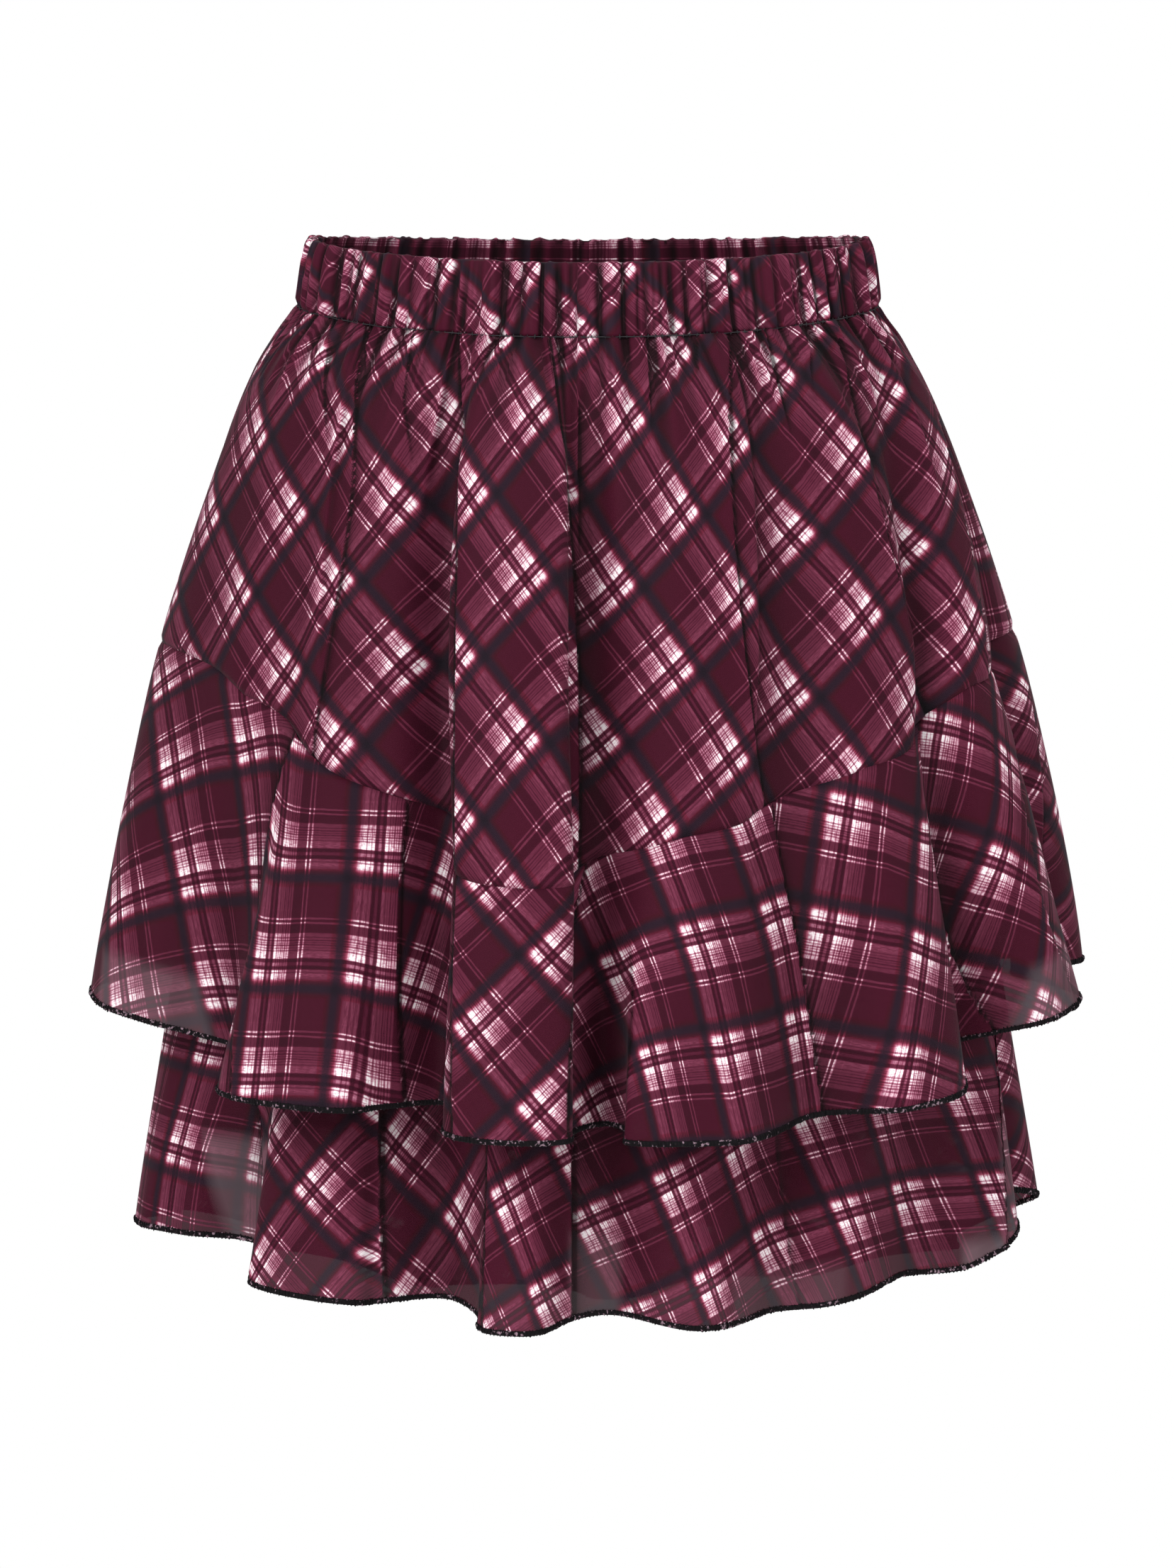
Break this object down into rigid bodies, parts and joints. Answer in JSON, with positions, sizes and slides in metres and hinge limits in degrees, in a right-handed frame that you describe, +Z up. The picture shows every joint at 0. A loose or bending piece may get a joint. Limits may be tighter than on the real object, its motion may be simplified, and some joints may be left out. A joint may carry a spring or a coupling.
{
  "type": "tiered ruffle skirt",
  "caption": "Short plaid chiffon skirt with a gathered elastic waist, an arched bias-cut panel, a circular flounce and a longer flounce beneath, kept in the hollow shape it has when worn.",
  "frame": {"origin": "centre of the waist opening, level with the waistband's top edge at the side seams", "axes": "+Z up along the wearer, -Y towards the front, +X towards the wearer's left"},
  "size_m": [0.4147, 0.3506, 0.4639],
  "materials": {
    "plaid_chiffon": "matte plaid chiffon, burgundy, plum, pink-white and charcoal",
    "lining": "smooth dark wine lining"
  },
  "bodies": {
    "root": {"front_waistband": "plaid_chiffon", "front_panel": "plaid_chiffon", "front_upper_flounce": "plaid_chiffon", "front_underskirt": "lining", "front_lower_flounce": "plaid_chiffon", "back_waistband": "plaid_chiffon", "back_panel": "plaid_chiffon", "back_upper_flounce": "plaid_chiffon", "back_underskirt": "lining", "back_lower_flounce": "plaid_chiffon"}
  },
  "joints": []
}
